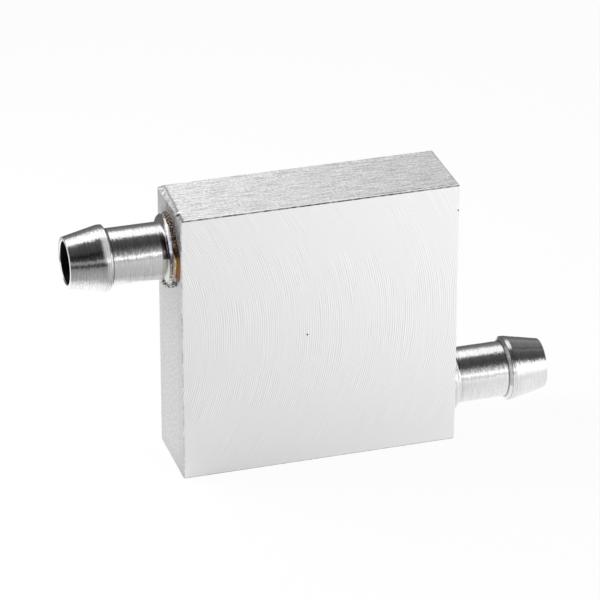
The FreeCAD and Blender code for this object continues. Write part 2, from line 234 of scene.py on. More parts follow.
# where each one fades in and out again, in degrees up or in millimetres along
FRONT_STRIP_UP = (10, 15, 20, 27)
OVERHEAD_UP = (94, 103, 129, 146)
SIDE_UP, SIDE_ALONG = (-1, 0, 31, 50), (150, 400, 900, 901)
CARD_UP, CARD_ALONG, CARD_DARKNESS = (-1, 0, 48, 60), (-901, -900, -20, 60), 0.9
SEAM_UP, SEAM_ALONG, SEAM_DARKNESS = (101, 104, 107, 110), (300, 400, 900, 901), 0.75
print("the cloth is darkest", min(CLOTH, key=lambda stop: stop[1])[0], "degrees up")


# %% Brightness all over the tent
def run_of(stops, value):
    """Straight runs between the stops."""
    places, levels = np.array(stops).T
    return np.interp(value, places, levels)


def band(value, foot, start, end, toe):
    """1 from start to end, and straight down to 0 at the foot and at the toe."""
    return np.interp(value, (foot, start, end, toe), (0, 1, 1, 0))


def tent_glow(along, degrees):
    """The cloth's brightness, drawn towards each panel's own brightness where that panel lies, and
    taken down by the card's and the seam's share where they lie."""
    card = CARD_DARKNESS * band(along, *CARD_ALONG) * band(degrees, *CARD_UP)
    glow = run_of(CLOTH, degrees) * (1 - card)
    glow = glow + (run_of(FRONT_STRIP, along) - glow) * band(degrees, *FRONT_STRIP_UP)
    glow = glow + (run_of(OVERHEAD_PANEL, along) - glow) * band(degrees, *OVERHEAD_UP)
    glow = glow + (SIDE_PANEL - glow) * (band(along, *SIDE_ALONG) * band(degrees, *SIDE_UP))
    seam = SEAM_DARKNESS * band(along, *SEAM_ALONG) * band(degrees, *SEAM_UP)
    return glow * (1 - seam)


print(f"halfway along, the overhead panel glows {tent_glow(0.0, 115.0):.2f}")


# %% The half tube
def tent():
    """Out by the radius at each angle from the front horizon over the top to the back one, and
    along X. The glow is kept as an attribute of the points."""
    angle = np.radians(np.linspace(0.0, 180.0, 361))[:, None]
    along = np.linspace(-TENT_HALF_LENGTH, TENT_HALF_LENGTH, 181)[None, :]
    grid = np.stack(
        [
            along + 0 * angle,
            -TENT_RADIUS * np.cos(angle) + 0 * along,
            TENT_RADIUS * np.sin(angle) + 0 * along,
        ],
        axis=-1,
    )
    piece = surface("light_tent", grid, False, False)
    glow = tent_glow(along, np.degrees(angle))
    attribute = piece.data.attributes.new("glow", "FLOAT", "POINT")
    attribute.data.foreach_set("value", glow.astype(np.float32).ravel())
    print(f"the tent glows from {glow.min():.2f} to {glow.max():.2f}")
    return piece


light_tent = tent()

# %% [markdown]
# ## Recipes for finishes
#
# Every finish is a small node tree. Each helper adds one node and hands back its output, so that a
# recipe reads from top to bottom. The tent's is the shortest: light as strong as the glow. It is
# seen only in mirrors. The camera, the matt paper and the shadows know nothing of it.


# %% Start a recipe, and the tent's fabric
def recipe(name):
    """A new material, its tree and its shader."""
    material = bpy.data.materials.new(name)
    material.use_nodes = True
    return material, material.node_tree, material.node_tree.nodes["Principled BSDF"]


def give(tree, value, socket):
    """Wires an output to a socket, or writes a plain value on it."""
    if isinstance(value, bpy.types.NodeSocket):
        tree.links.new(value, socket)
    else:
        socket.default_value = value


def add(tree, kind, inputs, **settings):
    """One node with its settings and its inputs."""
    node = tree.nodes.new(kind)
    for name, value in settings.items():
        setattr(node, name, value)
    for key, value in inputs.items():
        give(tree, value, node.inputs[key])
    return node


fabric, tree, _shader = recipe("tent_fabric")
glow = add(tree, "ShaderNodeAttribute", {}, attribute_name="glow").outputs["Fac"]
panel = add(tree, "ShaderNodeEmission", {"Color": (1, 1, 1, 1), "Strength": glow})
tree.links.new(panel.outputs[0], tree.nodes["Material Output"].inputs["Surface"])
light_tent.data.materials.append(fabric)
light_tent.visible_camera = False
light_tent.visible_diffuse = False
light_tent.visible_shadow = False
light_tent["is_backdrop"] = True
print("the tent hangs over the part, and only mirrors see it")

# %% [markdown]
# ## Arithmetic, places and noise
#
# The paper and the metals need more: sums, coordinates and noise. Coordinates are the object's
# own, in millimetres: a pattern then has its true size on the metal, and runs on from one node to
# the next. A stretch above 1 makes a pattern finer along that axis, and one below 1 draws it out.


# %% Arithmetic in a recipe
def arithmetic(tree, operation, *values):
    """One step of arithmetic."""
    return add(tree, "ShaderNodeMath", dict(enumerate(values)), operation=operation).outputs[0]


def plus(tree, first, second):
    """The two values added."""
    return arithmetic(tree, "ADD", first, second)


def minus(tree, first, second):
    """The first value less the second."""
    return arithmetic(tree, "SUBTRACT", first, second)


def times(tree, first, *others):
    """All the values multiplied."""
    for other in others:
        first = arithmetic(tree, "MULTIPLY", first, other)
    return first


def larger(tree, first, second):
    """The larger of two values."""
    return arithmetic(tree, "MAXIMUM", first, second)


def unsigned(tree, value):
    """The value without its sign."""
    return arithmetic(tree, "ABSOLUTE", value)


# %% Places in millimetres
def in_mm(tree, stretch=(1, 1, 1), centre=(0, 0, 0)):
    """The object's own coordinates in millimetres from a centre, stretched along each axis."""
    where = tree.nodes.new("ShaderNodeTexCoord").outputs["Object"]
    scale = [amount / MM for amount in stretch]
    shift = [-middle * amount for middle, amount in zip(centre, stretch)]
    inputs = {"Vector": where, "Scale": scale, "Location": shift}
    return add(tree, "ShaderNodeMapping", inputs).outputs[0]


def parts_of(tree, vector):
    """The three parts of a vector."""
    split = add(tree, "ShaderNodeSeparateXYZ", {0: vector})
    return split.outputs[0], split.outputs[1], split.outputs[2]


def vector_of(tree, x, y, z):
    """A vector from its three parts."""
    return add(tree, "ShaderNodeCombineXYZ", {0: x, 1: y, 2: z}).outputs[0]


# %% Noise, and runs of values
def grain(tree, vector, scale=1.0, detail=3.0, roughness=0.55):
    """Smooth noise from 0 to 1, with about one blotch in each 1 / scale."""
    inputs = {"Vector": vector, "Scale": scale, "Detail": detail, "Roughness": roughness}
    return add(tree, "ShaderNodeTexNoise", inputs).outputs[0]


def straight(tree, value, low, high, first, last, kind="LINEAR"):
    """Goes evenly from first to last as the value goes from low to high."""
    inputs = {"Value": value, 1: low, 2: high, 3: first, 4: last}
    return add(tree, "ShaderNodeMapRange", inputs, interpolation_type=kind).outputs[0]


def ease(tree, value, low, high, first=0.0, last=1.0):
    """The same run, which starts and ends gently."""
    return straight(tree, value, low, high, first, last, "SMOOTHSTEP")


def mixed(tree, share, first, second):
    """The first number where the share is 0, the second where it is 1."""
    return add(tree, "ShaderNodeMix", {"Factor": share, "A": first, "B": second}).outputs[0]


def grey(tree, value):
    """A neutral colour of that brightness."""
    return add(tree, "ShaderNodeCombineColor", {0: value, 1: value, 2: value}).outputs[0]


# %% [markdown]
# ## White paper
#
# The part stands on white paper. The camera should see that paper as plain white, and a mirror
# should see it with painted light and shade: bright behind the part, a painted shadow in front of
# it and darker towards the left, nearly black beyond its far edge. So the paper's shader asks what
# kind of ray has arrived. A share of plain glow answers the camera and the mirrors, and for the
# mirrors that glow is painted; the rest is real matt paper, which keeps the part's shadow. The
# sheet lies a hair below the part, so that the two never share one plane. Seen from under the
# sheet, it hides the part.

# %% Lay the paper
PAPER_HALF = 4000.0
PAPER_BELOW = 0.02
side = np.linspace(-PAPER_HALF, PAPER_HALF, 9)
across, away = np.meshgrid(side, side, indexing="ij")
paper = surface("paper", np.stack([across, away, 0 * across - PAPER_BELOW], axis=-1), False, False)
paper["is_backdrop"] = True


# %% What the paper shows a mirror
def ray_kinds(tree):
    """1 for a ray from the camera, and 1 for a ray from a mirror or through glass."""
    rays = tree.nodes.new("ShaderNodeLightPath").outputs
    mirrored = larger(tree, rays["Is Glossy Ray"], rays["Is Transmission Ray"])
    return rays["Is Camera Ray"], mirrored


def painted_paper_light(tree, x, y):
    """Painted light and shade for mirrors. In front of the part the paper brightens to the right
    and towards the part. The part's painted shadow ends on a line that comes forward beside the
    block, and behind that line the paper is painted bright. Past its far edge, which runs askew, it
    is painted dark."""
    in_front = straight(tree, x, -40.0, 35.0, 0.13, 0.86)
    in_front = times(tree, in_front, ease(tree, y, -260.0, -90.0, 0.55, 1.0))
    in_front = plus(tree, in_front, ease(tree, x, 40.0, 90.0, 0.0, 0.35))
    shade_ends = straight(tree, unsigned(tree, x), 16.0, 34.0, -9.0, -32.0)
    painted_glow = mixed(tree, ease(tree, y, shade_ends, 4.0), in_front, 1.04)
    past_edge = ease(tree, plus(tree, y, times(tree, x, 0.3)), 42.0, 70.0)
    return mixed(tree, past_edge, painted_glow, 0.14), past_edge


# %% The paper's finish
PAPER_SEEN = 0.935
PAPER_MIRRORED = 0.72
white_paper, tree, _shader = recipe("white_paper")
place = in_mm(tree)
paper_white = grey(tree, straight(tree, grain(tree, place, 0.6), 0.3, 0.7, 0.80, 0.82))
matt = add(tree, "ShaderNodeBsdfDiffuse", {"Color": paper_white})
x, y, _z = parts_of(tree, place)
painted_glow, past_edge = painted_paper_light(tree, x, y)
seen, mirrored = ray_kinds(tree)
# for mirrors the glow's strength is painted light and painted shadow
strength = mixed(tree, mirrored, 1.0, painted_glow)
glow = add(tree, "ShaderNodeEmission", {"Color": (1, 1, 1, 1), "Strength": strength})
seen_share = times(tree, seen, PAPER_SEEN)
mirrored_share = times(tree, mirrored, mixed(tree, past_edge, PAPER_MIRRORED, 1.0))
glow_share = plus(tree, seen_share, mirrored_share)
sheet = add(tree, "ShaderNodeMixShader", {0: glow_share, 1: matt.outputs[0], 2: glow.outputs[0]})
tree.links.new(sheet.outputs[0], tree.nodes["Material Output"].inputs["Surface"])
paper.data.materials.append(white_paper)
print("white paper, glowing for the camera by", PAPER_SEEN)

# %% [markdown]
# ## The room and two lamps
#
# Whatever isn't a mirror is lit by a plain white room and two soft lamps, at a level where white
# paper is just white. One lamp hangs behind the part on the left and brightens the top, most of
# all over the inlet. The other stands far off in front on the right and lifts the machined face.
# Mirrors and the camera see the room as white, and see no lamp.

# %% The room
ROOM_LIGHT = 0.40
world = bpy.data.worlds.new("white_room")
bpy.context.scene.world = world
world.use_nodes = True
tree = world.node_tree
seen, mirrored = ray_kinds(tree)
room = tree.nodes["Background"]
give(tree, mixed(tree, larger(tree, seen, mirrored), ROOM_LIGHT, 1.0), room.inputs["Strength"])
room.inputs["Color"].default_value = (1, 1, 1, 1)
print("the room lights the part at", ROOM_LIGHT)


# %% The lamps
def soft_lamp(name, place_mm, width, watts):
    """A square of light that points at the part and shows in no mirror."""
    light = bpy.data.lights.new(name, "AREA")
    light.shape = "RECTANGLE"
    light.size = width
    light.size_y = width
    light.energy = watts
    lamp = bpy.data.objects.new(name, light)
    bpy.context.scene.collection.objects.link(lamp)
    place = Vector(place_mm) * MM
    turned = (place - AIM).to_track_quat("Z", "X").to_matrix().to_4x4()
    lamp.matrix_world = Matrix.Translation(place) @ turned
    lamp.visible_camera = False
    lamp.visible_glossy = False
    print(f"{name}: {watts} W, {(place - AIM).length / MM:.0f} mm away")


soft_lamp("left_lamp", (-85, 50, 120), 0.09, 0.215)
soft_lamp("front_lamp", (260, -330, 110), 0.3, 1.85)

# %% [markdown]
# ## The turned nozzles
#
# Each nozzle came off a lathe: a plug that goes into the cap, a flange that seats on it, a shank,
# and a barb that a hose is pushed over. A lathe part is its profile carried round an axis, so the
# profile is written once as corners with the radius on each, and both nozzles are made from it.
# The solid model's nozzles have plain edges. These have the small radii that catch the light.


# %% Turn the corners of a profile
def rounded(corners, steps=7, guard=0.03):
    """A closed profile with its corners turned. Each corner gives its place and radius. The arc's
    centre lies on the line that halves the corner, radius / sin(half angle) from it, and the arc
    runs between the two points where it touches the sides. A guard point beyond each end keeps
    the flat runs flat when the mesh is shaded smooth."""
    place = np.array([corner[:2] for corner in corners], float)
    radius = np.array([corner[2] for corner in corners], float)[:, None]
    back = np.roll(place, 1, axis=0) - place
    ahead = np.roll(place, -1, axis=0) - place
    back /= np.linalg.norm(back, axis=1, keepdims=True)
    ahead /= np.linalg.norm(ahead, axis=1, keepdims=True)
    half = np.arccos(np.clip(np.sum(back * ahead, axis=1), -1, 1))[:, None] / 2
    setback = radius / np.tan(half)
    bisector = (back + ahead) / np.linalg.norm(back + ahead, axis=1, keepdims=True)
    centre = place + bisector * radius / np.sin(half)
    start = (place + back * setback - centre)[:, None, :]
    end = (place + ahead * setback - centre)[:, None, :]
    turn = (np.pi - 2 * half)[:, :, None]
    step = np.linspace(0, 1, steps)[None, :, None]
    swing = start * np.sin((1 - step) * turn) + end * np.sin(step * turn)
    arc = centre[:, None, :] + swing / np.sin(turn)
    before = (place + back * (setback + guard))[:, None, :]
    after = (place + ahead * (setback + guard))[:, None, :]
    return np.concatenate([before, arc, after], axis=1).reshape(-1, 2)


square = ((0, 0, 2), (9, 0, 2), (9, 9, 2), (0, 9, 2))
print(f"a square's {len(square)} turned corners take {len(rounded(square))} points")

# %% The nozzle's profile
BORE, SHANK, BARB, MOUTH, SPIGOT = 3.0, 4.0, 4.625, 3.59, 3.5
FLANGE_THICKNESS, FLANGE_ROUND, ROOT_ROUND = 1.1, 0.45, 0.49
BARB_PLACE, BARB_LAND, BARB_STEP = 9.25, 0.6, 0.4
FOOT_ROUND, BARB_ROUND, BARB_CREST = 0.1, 0.14, 0.9
MOUTH_BREAK, LIP_ROUND, KEEN = 0.12, 0.08, 0.02

NOZZLE_PROFILE = (
    # out from the end face, from the axis, radius on the corner
    (-PLUG, BORE, KEEN),
    (-PLUG, SPIGOT, KEEN),
    (0.0, SPIGOT, KEEN),
    (0.0, FLANGE, KEEN),
    (FLANGE_THICKNESS, FLANGE, FLANGE_ROUND),
    (FLANGE_THICKNESS, SHANK, ROOT_ROUND),
    (BARB_PLACE - BARB_STEP, SHANK, FOOT_ROUND),
    (BARB_PLACE, BARB, BARB_ROUND),
    (BARB_PLACE + BARB_LAND, BARB, BARB_CREST),
    (REACH, MOUTH, LIP_ROUND),
    (REACH, BORE + MOUTH_BREAK, KEEN),
    (REACH - MOUTH_BREAK, BORE, KEEN),
)
print(len(NOZZLE_PROFILE), "corners,", len(rounded(NOZZLE_PROFILE)), "points once turned")


# %% Carry the profile round the axis
def carried_round(side, out, radius, angle, axis_height):
    """The distance out runs along X from the end face, and the radius becomes -cos and sin of the
    angle in Y and Z."""
    return np.stack(
        [
            side * (HALF_WIDTH + out) + 0 * angle,
            -radius * np.cos(angle),
            axis_height + radius * np.sin(angle),
        ],
        axis=-1,
    )


def turned(name, side, axis_height, segments=256):
    """Each point of the profile is carried right round the axis."""
    out, radius = rounded(NOZZLE_PROFILE).T
    angle = np.linspace(0, 2 * np.pi, segments, endpoint=False)[:, None]
    return surface(name, carried_round(side, out, radius, angle, axis_height), True, True)


inlet_nozzle = turned("inlet_nozzle_turned", -1, INLET_AXIS)
outlet_nozzle = turned("outlet_nozzle_turned", 1, OUTLET_AXIS)

# %% [markdown]
# ## Rings of the lathe
#
# A turned surface is a very fine screw thread. Its grooves run round the axis and scatter light
# along it. So the pattern is worked out in the lathe's own terms: how far out a point is, how far
# from the axis, and how far round. The tool also trembles, so that each groove leans a little more
# or less than the next one, and a bright band mirrored across them gets a torn edge.


# %% The lathe's own coordinates
def distance_from(tree, first, second):
    """How far from an axis a point is, by its two places across that axis."""
    squares = plus(tree, times(tree, first, first), times(tree, second, second))
    return arithmetic(tree, "SQRT", squares)


def on_the_lathe(tree, axis_height):
    """How far out from the end face, how far from the axis, the angle up from the front, and the
    place across the axis."""
    x, y, z = parts_of(tree, in_mm(tree, centre=(0, 0, axis_height)))
    out = minus(tree, unsigned(tree, x), HALF_WIDTH)
    spin = arithmetic(tree, "ARCTAN2", z, times(tree, y, -1.0))
    return out, distance_from(tree, y, z), spin, y, z


# %% Grooves, and the tool's tremble
RINGS_PER_MM = 6.0
LEAN = 0.065


def lathe_grooves(tree, out, radius, y, z):
    """Noise on (out + radius, y, z), fine in the first and long round the axis. The tremble is
    finer still and changes sooner round the axis."""
    feed = times(tree, plus(tree, out, radius), RINGS_PER_MM)
    ring_place = vector_of(tree, feed, times(tree, y, 0.25), times(tree, z, 0.25))
    tremble_feed = times(tree, feed, 1.3)
    tremble_place = vector_of(tree, tremble_feed, times(tree, y, 2.2), times(tree, z, 2.2))
    rings = grain(tree, ring_place, detail=2.0, roughness=0.6)
    return rings, grain(tree, tremble_place, roughness=0.6)


def leaning_normal(tree, tremble):
    """The surface's own normal turned about X, by up to the lean either way."""
    lean = straight(tree, tremble, 0.3, 0.7, -LEAN, LEAN)
    normal = tree.nodes.new("ShaderNodeNewGeometry").outputs["Normal"]
    inputs = {"Vector": normal, "Angle": lean}
    return add(tree, "ShaderNodeVectorRotate", inputs, rotation_type="X_AXIS").outputs[0]


print(f"a ring in each {1 / RINGS_PER_MM:.2f} mm, leaning up to {math.degrees(LEAN):.1f} degrees")

# %% [markdown]
# A darker line is painted at the foot of the barb, as the shade in that corner, another lies at
# its crest, and the tool left faint scratches by the flange and behind the cone. Each line is a
# window on the distance out, which is 1 inside the line and eases down to 0 on both sides.


# %% Dark lines round the nozzle
# millimetres out from the end face
SCRATCHES = (1.75, 2.0, BARB_PLACE + 0.36, BARB_PLACE + 0.62)


def window(tree, value, foot, start, end, toe):
    """1 from start to end, eased down to 0 at the foot and at the toe."""
    return times(tree, ease(tree, value, foot, start), ease(tree, value, toe, end))


def scratches_and_barb_shade(tree, tone, out, radius):
    """The tone, taken down where a line is."""
    foot = window(tree, minus(tree, out, BARB_PLACE), -0.55, -0.45, -0.37, -0.28)
    crest = window(tree, minus(tree, out, BARB_PLACE), -0.05, 0.0, 0.04, 0.10)
    # the line at the barb's foot is painted shade in that corner
    tone = mixed(tree, times(tree, foot, 0.75), tone, 0.10)
    tone = mixed(tree, times(tree, crest, 0.45), tone, 0.10)
    outside = ease(tree, radius, SHANK - 0.2, SHANK - 0.1)
    for place in SCRATCHES:
        scratch = window(tree, minus(tree, out, place), -0.07, -0.02, 0.02, 0.07)
        tone = mixed(tree, times(tree, scratch, outside, 0.30), tone, 0.20)
    return tone


print(len(SCRATCHES), "scratches,", SCRATCHES, "mm out")

# %% [markdown]
# ## Painted light on the inlet's flange
#
# The brazing heat tinted the inlet's flange faintly, and the flange is also painted with the shade
# and the reflections that its curves catch. Its root, next to the shank, is painted dark above as
# shade and pale green below as a reflection. Its rim is rosy at the top and bluish further round, a
# painted highlight with that tint, and below the front it is lilac with beige behind, painted
# reflections, and crusty silver where the braze ran. Each colour is a run of two along one noise,
# laid where the radius, the distance out and the angle say. The painted highlight above is also
# less metallic, so that it shows brighter.


# %% Runs of colours
def colours(tree, value, stops):
    """A run of colours along a value from 0 to 1."""
    ramp = add(tree, "ShaderNodeValToRGB", {0: value})
    band = ramp.color_ramp
    while len(band.elements) < len(stops):
        band.elements.new(1.0)
    for element, (place, colour) in zip(band.elements, stops):
        element.position = place
        element.color = (*colour, 1)
    return ramp.outputs[0]


def mixed_colour(tree, share, first, second, blend="MIX"):
    """The first colour where the share is 0, the second (or their product) where it is 1."""
    node = add(tree, "ShaderNodeMix", {}, data_type="RGBA", blend_type=blend)
    for value, socket in ((share, 0), (first, 6), (second, 7)):
        give(tree, value, node.inputs[socket])
    return node.outputs[2]


# %% Colours of painted shade, reflection and highlight, and of braze
ROOT_SHADE = ((0.35, (0.06, 0.05, 0.06)), (0.65, (0.22, 0.17, 0.20)))
GREEN_ROOT_REFLECTION = (0.62, 0.64, 0.59, 1)
LILAC_RIM_REFLECTION = ((0.40, (0.10, 0.09, 0.11)), (0.55, (0.36, 0.32, 0.36)))
BEIGE_RIM_REFLECTION = ((0.35, (0.55, 0.40, 0.24)), (0.60, (0.88, 0.78, 0.62)))
BLUE_RIM_HIGHLIGHT = ((0.38, (0.55, 0.53, 0.66)), (0.55, (0.90, 0.90, 0.97)))
ROSY_RIM_HIGHLIGHT = ((0.38, (0.70, 0.58, 0.58)), (0.55, (0.97, 0.92, 0.92)))
SILVER_CRUST = ((0.47, (0.02, 0.02, 0.02)), (0.55, (0.85, 0.84, 0.82)))


def tinted_flange_with_painted_light(tree, clean, out, radius, spin):
    """The clean metal's colour, with the root's painted shade and reflection below half a
    millimetre over the shank, the rim's painted reflections and highlight above that, and the
    braze's crust.
    Out and radius are in mm, spin in radians."""
    # the root's colours are painted shade and reflection, the rim's painted reflections and a
    # painted highlight with a faint tint
    near_flange = ease(tree, out, 2.1, 1.8)
    film = grain(tree, in_mm(tree), 2.6, 3.0, 0.6)
    on_root = times(tree, ease(tree, radius, 4.75, 4.5), near_flange)
    above = times(tree, on_root, window(tree, spin, 0.10, 0.16, 0.75, 1.10))
    colour = mixed_colour(tree, above, clean, colours(tree, film, ROOT_SHADE))
    below = times(tree, on_root, ease(tree, spin, 0.16, 0.08))
    colour = mixed_colour(tree, below, colour, GREEN_ROOT_REFLECTION)
    lilac, beige = colours(tree, film, LILAC_RIM_REFLECTION), colours(tree, film, BEIGE_RIM_REFLECTION)
    lower_rim = mixed_colour(tree, ease(tree, out, 0.80, 0.90), beige, lilac)
    blue, rosy = colours(tree, film, BLUE_RIM_HIGHLIGHT), colours(tree, film, ROSY_RIM_HIGHLIGHT)
    upper_rim = mixed_colour(tree, ease(tree, spin, 0.7, 0.95), blue, rosy)
    rim = mixed_colour(tree, ease(tree, spin, 0.18, 0.30), lower_rim, upper_rim)
    silver = colours(tree, grain(tree, in_mm(tree), 5.5, 3.0, 0.65), SILVER_CRUST)
    rim = mixed_colour(tree, ease(tree, spin, -0.40, -0.66), rim, silver)
    on_rim = times(tree, ease(tree, radius, 4.45, 4.65), near_flange)
    return mixed_colour(tree, on_rim, colour, rim)


def highlight_rim(tree, out, radius, spin):
    """1 on the rim's painted highlight, which is a narrow line in front and widens towards the top.
    """
    starts = straight(tree, spin, 0.5, 1.0, 0.72, 0.40)
    return times(
        tree,
        ease(tree, radius, 4.50, 4.65),
        window(tree, spin, 0.22, 0.40, 1.15, 1.35),
        ease(tree, minus(tree, out, starts), 0.0, 0.12),
    )


# %% [markdown]
# ## Turned aluminium
#
# The finish puts these together. The bottoms of the grooves are painted a little darker, as shade,
# and the outlet's are painted lighter than the inlet's. Smudges and the tremble vary the tone. The
# bore is painted almost black, as the shade inside it, and its gloss is dull. The shader's
# anisotropy stretches the gloss across the grooves, along X.


# %% The finish of a nozzle
def raised(tree, height, depth_mm, under=None):
    """Bump: the height, from 0 to 1, stands for that many millimetres."""
    inputs = {"Height": height, "Distance": depth_mm * MM, "Strength": 1.0}
    if under is not None:
        inputs["Normal"] = under
    return add(tree, "ShaderNodeBump", inputs).outputs[0]


BORE_SHADE = (0.04, 0.04, 0.045, 1)


def turned_aluminium(name, axis_height, groove_shade, tinted_and_lit):
    """Polished metal with lathe rings. The groove shade is how bright the bottom of a groove is
    painted, as shade.
    """
    material, tree, shader = recipe(name)
    out, radius, spin, y, z = on_the_lathe(tree, axis_height)
    rings, tremble = lathe_grooves(tree, out, radius, y, z)
    smudge = grain(tree, in_mm(tree), 0.35, 3.0, 0.6)
    tone = times(
        tree,
        straight(tree, smudge, 0.3, 0.7, 0.94, 0.99),
        # the darker groove bottoms are painted shade
        straight(tree, rings, 0.36, 0.60, groove_shade, 1.0),
        straight(tree, tremble, 0.35, 0.65, 0.92, 1.0),
    )
    colour = grey(tree, scratches_and_barb_shade(tree, tone, out, radius))
    if tinted_and_lit:
        colour = tinted_flange_with_painted_light(tree, colour, out, radius, spin)
        # less metallic where the painted highlight lies, so that it shows brighter
        bare = mixed(tree, highlight_rim(tree, out, radius, spin), 1.0, 0.45)
    else:
        bare = 1.0
    # inside the bore the colour is painted shade, almost black
    in_bore = times(
        tree,
        ease(tree, radius, BORE + 0.03, BORE + MOUTH_BREAK - 0.02, 1.0, 0.0),
        ease(tree, out, REACH - 0.22, REACH - 0.12, 1.0, 0.0),
    )
    gloss = mixed(tree, in_bore, straight(tree, rings, 0.3, 0.7, 0.11, 0.19), 0.5)
    give(tree, mixed_colour(tree, in_bore, colour, BORE_SHADE), shader.inputs["Base Color"])
    give(tree, gloss, shader.inputs["Roughness"])
    give(tree, bare, shader.inputs["Metallic"])
    shader.inputs["Anisotropic"].default_value = 0.5
    give(tree, vector_of(tree, 1.0, 0.0, 0.0), shader.inputs["Tangent"])
    grooved = raised(tree, rings, 0.0035, leaning_normal(tree, tremble))
    give(tree, grooved, shader.inputs["Normal"])
    return material


# %% Finish both nozzles
for piece, name, axis, groove_shade, tinted_and_lit in (
    (inlet_nozzle, "inlet", INLET_AXIS, 0.84, True),
    (outlet_nozzle, "outlet", OUTLET_AXIS, 0.90, False),
):
    finish = turned_aluminium(f"{name}_turned_aluminium", axis, groove_shade, tinted_and_lit)
    piece.data.materials.append(finish)
    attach(piece, "root")
    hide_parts(f"{name}_nozzle")
    print(f"{name} nozzle finished with {len(finish.node_tree.nodes)} nodes")

# %% [markdown]
# ## Braze round the flanges
#
# Molten braze creeps into the corner between flange and end face and sets as a small hollow
# fillet. It never sets evenly, so its leg swells and shrinks round the flange: a few slow sines
# stand for that. The fillet is a ring like the nozzle, but its section changes on the way round.


# %% The fillets
FILLET_LEG = (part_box("outlet_braze_fillet")[1].y / MM) - FLANGE


def uneven(angle, seed, waves=(2, 3, 5, 9, 14)):
    """A slow ripple round the flange, from about -1 to 1: sines with seeded phases."""
    phases = np.random.default_rng(seed).uniform(0, 2 * np.pi, len(waves))
    ripple = sum(np.sin(k * angle + p) / (1 + 0.15 * k) for k, p in zip(waves, phases))
    return ripple / sum(1 / (1 + 0.15 * k) for k in waves)


def fillet_ring(name, side, axis_height, seed, segments=240):
    """A three-sided section carried round the flange: along the flange, a hollow arc that bows in
    towards the corner, and back down the end face."""
    angle = np.linspace(0, 2 * np.pi, segments, endpoint=False)[:, None]
    leg = FILLET_LEG * (0.80 + 0.18 * uneven(angle, seed))
    share = np.linspace(0, 1, 9)[None, :]
    bow = 0.38 * leg * np.sin(np.pi * share)
    out = np.concatenate([0 * leg, leg * (1 - share) - bow / 2 + 0 * share], axis=1)
    rise = np.concatenate([0 * leg, leg * share - bow / 2 + 0 * share], axis=1)
    out, rise = np.maximum(out, 0), np.maximum(rise, 0)
    return surface(name, carried_round(side, out, FLANGE + rise, angle, axis_height), True, True)


inlet_fillet = fillet_ring("inlet_braze_ring", -1, INLET_AXIS, 5)
outlet_fillet = fillet_ring("outlet_braze_ring", 1, OUTLET_AXIS, 11)

# %% [markdown]
# Under the inlet flange the surplus ran together into beads. Each is a ball in latitude and
# longitude whose radius is ruffled by sines of both, so that no two catch the light alike.

# %% The beads
BEADS = (
    # degrees below the front, out from the end face, beyond the flange's edge, radius
    (-46, 0.20, 0.00, 0.46),
    (-55, 0.40, -0.07, 0.48),
    (-62, 0.68, -0.15, 0.48),
    (-69, 0.88, -0.25, 0.48),
    (-78, 0.99, -0.37, 0.47),
)


def bead(number, degrees, out, beyond, size):
    """A ball whose radius is the size, times a ruffle of three waves round and four up."""
    latitude = np.linspace(-np.pi / 2, np.pi / 2, 33)[:, None]
    longitude = np.linspace(0, 2 * np.pi, 48, endpoint=False)[None, :]
    ruffle = np.sin(3 * longitude + number) * np.cos(latitude) ** 3
    ruffle = ruffle + np.sin(4 * latitude + 2 * number) * np.cos(latitude)
    radius = size * (0.93 + 0.05 * ruffle)
    middle = carried_round(-1, out, FLANGE + beyond, math.radians(degrees), INLET_AXIS)
    ball = np.stack(
        [
            radius * np.cos(latitude) * np.cos(longitude),
            radius * np.cos(latitude) * np.sin(longitude),
            radius * np.sin(latitude) + 0 * longitude,
        ],
        axis=-1,
    )
    return surface(f"inlet_braze_bead_{number}", ball + middle, False, True)


beads = [bead(number, *numbers) for number, numbers in enumerate(BEADS, 1)]

# %% [markdown]
# Braze sets with a crusty skin of bright silver. The pits between are painted black, as shade.
# One noise gives both the colour and the height, so that the painted shade lies in the low places.

# %% The finish of the braze
BRAZE_SKIN_AND_PIT_SHADE = ((0.43, (0.02, 0.02, 0.02)), (0.50, (0.40, 0.39, 0.38)), (0.56, (0.95, 0.95, 0.94)))


def braze_metal():
    """Silver with its pits painted black as shade, on a bump of the same noise."""
    material, tree, shader = recipe("set_braze")
    crust = grain(tree, in_mm(tree), 5.5, 3.0, 0.65)
    dull = grain(tree, in_mm(tree), 1.3, 2.0)
    # the black in the pits is painted shade
    give(tree, colours(tree, crust, BRAZE_SKIN_AND_PIT_SHADE), shader.inputs["Base Color"])
    give(tree, straight(tree, dull, 0.3, 0.7, 0.18, 0.38), shader.inputs["Roughness"])
    shader.inputs["Metallic"].default_value = 1.0
    give(tree, raised(tree, crust, 0.14), shader.inputs["Normal"])
    return material


set_braze = braze_metal()
for piece in (inlet_fillet, outlet_fillet, *beads):
    piece.data.materials.append(set_braze)
    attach(piece, "root")
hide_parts("inlet_braze_fillet")
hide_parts("outlet_braze_fillet")
print(f"two fillets and {len(beads)} beads of braze, leg {FILLET_LEG:.2f} mm")

# %% [markdown]
# ## Burnt flux
#
# Flux is painted on so that the braze wets the metal. What isn't washed off afterwards sets as a
# brown glass: a thick amber run between the inlet flange and the block's front edge, thinning to a
# brown film over the top. It is made as a skin over the fillet. Its outer side is a soft curve
# from a point up the flange to a point out on the end face, and its inner side follows the metal.
# Above the front it rises further up the flange and spreads less over the end face.

# %% The skin of burnt flux
FLUX_ABOVE, FLUX_BELOW = 103.0, 35.0
FLUX_RISE, FLUX_SPREAD = 0.73, 0.79
FLUX_TAPER = 9.0


